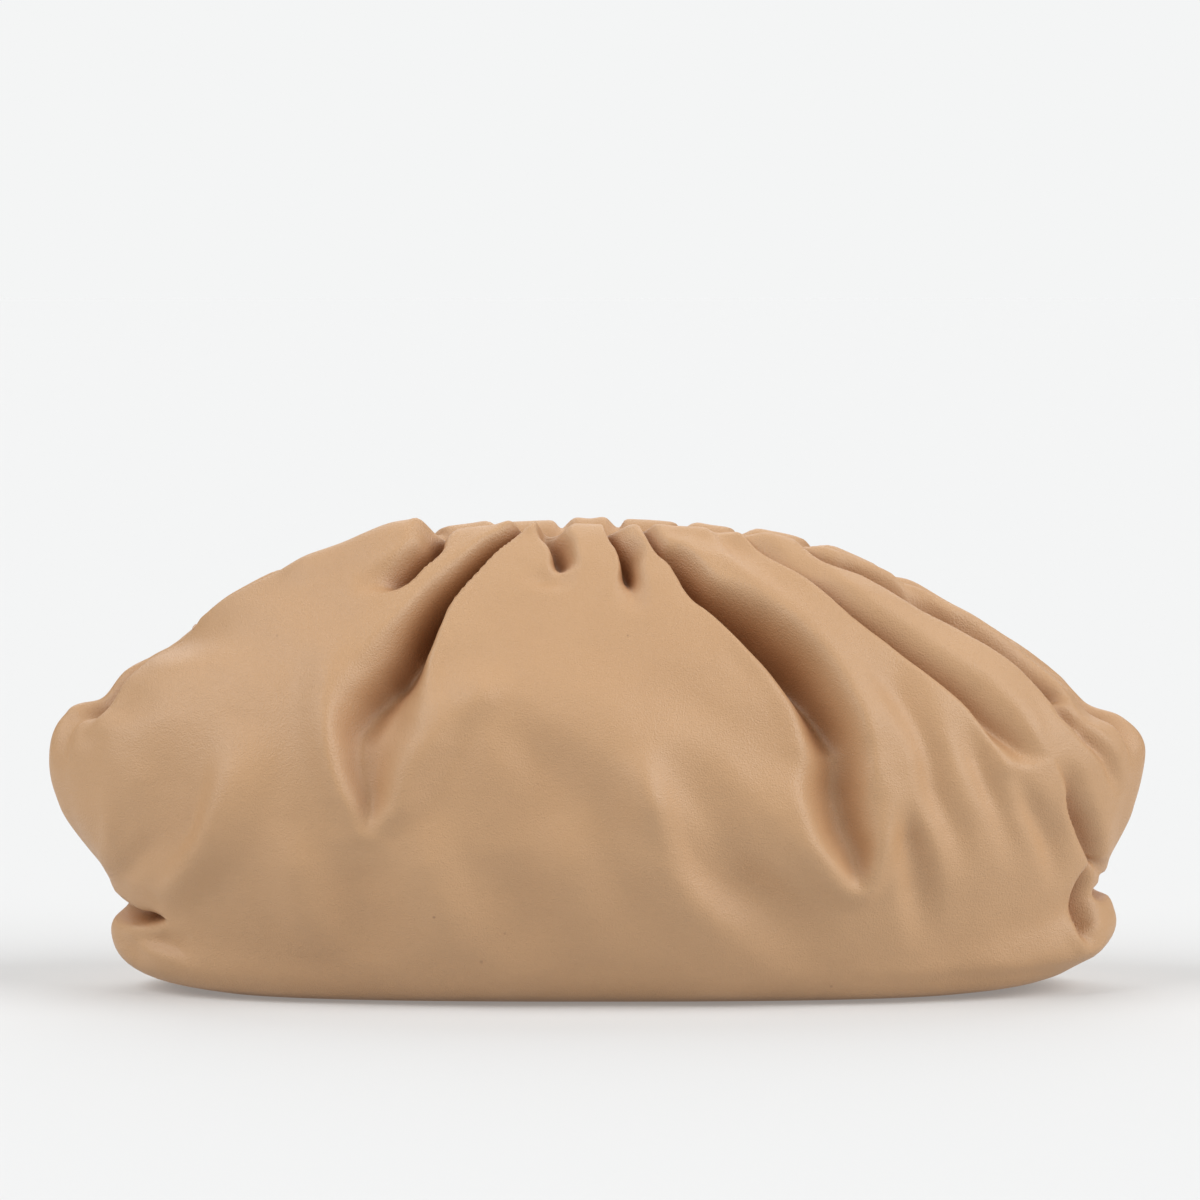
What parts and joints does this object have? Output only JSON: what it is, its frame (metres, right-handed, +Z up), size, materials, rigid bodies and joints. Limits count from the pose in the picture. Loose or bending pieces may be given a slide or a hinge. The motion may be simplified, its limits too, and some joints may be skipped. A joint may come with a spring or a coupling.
{
  "type": "cloud pouch bag",
  "caption": "Large soft leather pouch clutch, wide and rounded, gathered in uneven pleats onto a hidden arched hinged frame, standing closed on its flat base.",
  "frame": {"origin": "middle of the flat base that the bag rests on, at the middle of its outer box", "axes": "+X along the bag to the viewer's right, +Y from the front to the back, +Z up"},
  "size_m": [0.3836, 0.1506, 0.1668],
  "materials": {
    "body_leather": "smooth nappa with a fine grain, satin",
    "frame_leather": "smooth leather cover over a metal bar, satin",
    "hinge_metal": "satin"
  },
  "bodies": {
    "root": {"leather_body": "body_leather", "frame_jaw_front": "frame_leather", "frame_jaw_back": "frame_leather", "frame_hinge_left": "hinge_metal", "frame_hinge_right": "hinge_metal"}
  },
  "joints": []
}
